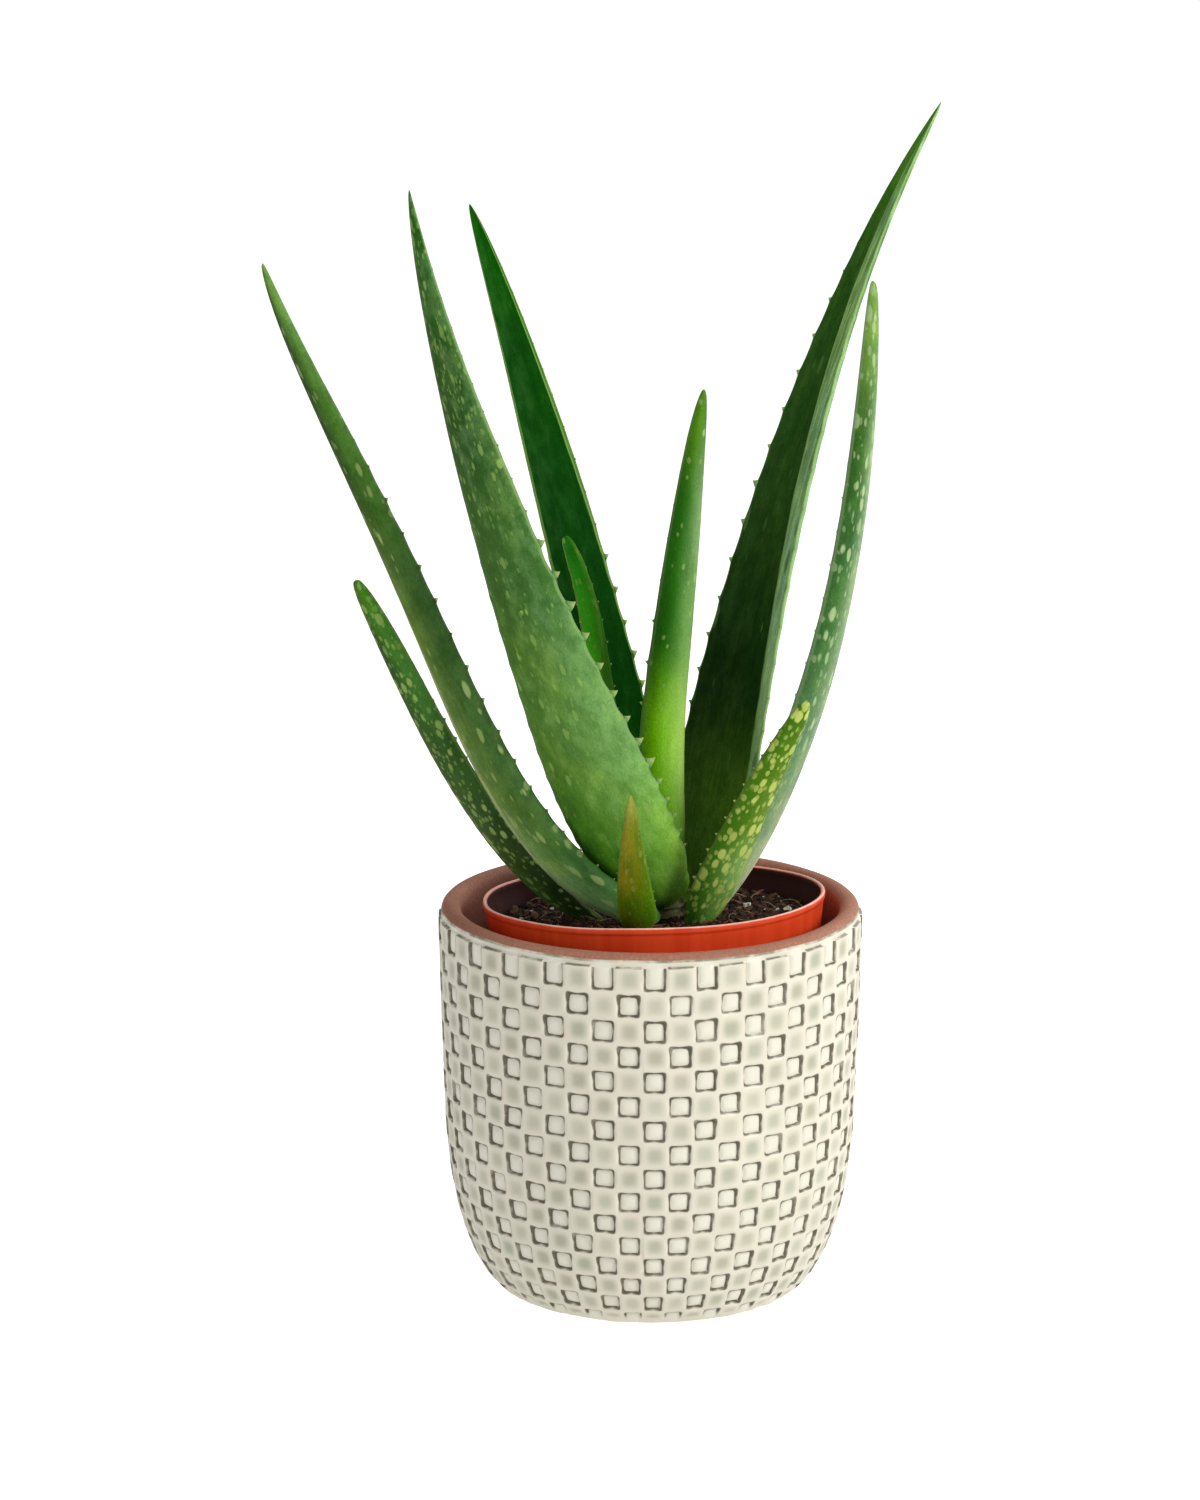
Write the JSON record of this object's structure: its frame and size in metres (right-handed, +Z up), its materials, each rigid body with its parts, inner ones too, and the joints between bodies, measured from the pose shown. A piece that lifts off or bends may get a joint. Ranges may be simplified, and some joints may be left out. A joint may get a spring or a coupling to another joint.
{
  "type": "potted aloe plant",
  "caption": "Potted aloe: toothed, spotted succulent leaves on a short stem in soil, in a plastic nursery pot set in a tiled stoneware cachepot.",
  "frame": {"origin": "middle of the cachepot's foot, where it stands", "axes": "+Z up out of the pot; -Y towards the front of the plant, where the broad leaf and the two smallest leaves are; +X to the right seen from the front"},
  "size_m": [0.2326, 0.1626, 0.4112],
  "materials": {
    "stoneware_glaze": "satin",
    "orange_plastic": "satin",
    "soil": "matte",
    "stem_fibre": "matte",
    "leaf_grey_green": "satin",
    "leaf_dark_green": "satin",
    "leaf_spotted": "satin",
    "leaf_fresh_green": "satin",
    "leaf_red_tinged": "satin"
  },
  "bodies": {
    "root": {"cachepot": "stoneware_glaze", "nursery_pot": "orange_plastic", "potting_soil": "soil", "crown_stem": "stem_fibre", "leaf_far_left": "leaf_grey_green", "leaf_low_left": "leaf_spotted", "leaf_front_broad": "leaf_grey_green", "leaf_back_left": "leaf_dark_green", "leaf_inner_left": "leaf_fresh_green", "leaf_centre": "leaf_fresh_green", "leaf_back_right": "leaf_dark_green", "leaf_right_curved": "leaf_grey_green", "leaf_low_right": "leaf_spotted", "leaf_front_small": "leaf_red_tinged"}
  },
  "joints": []
}
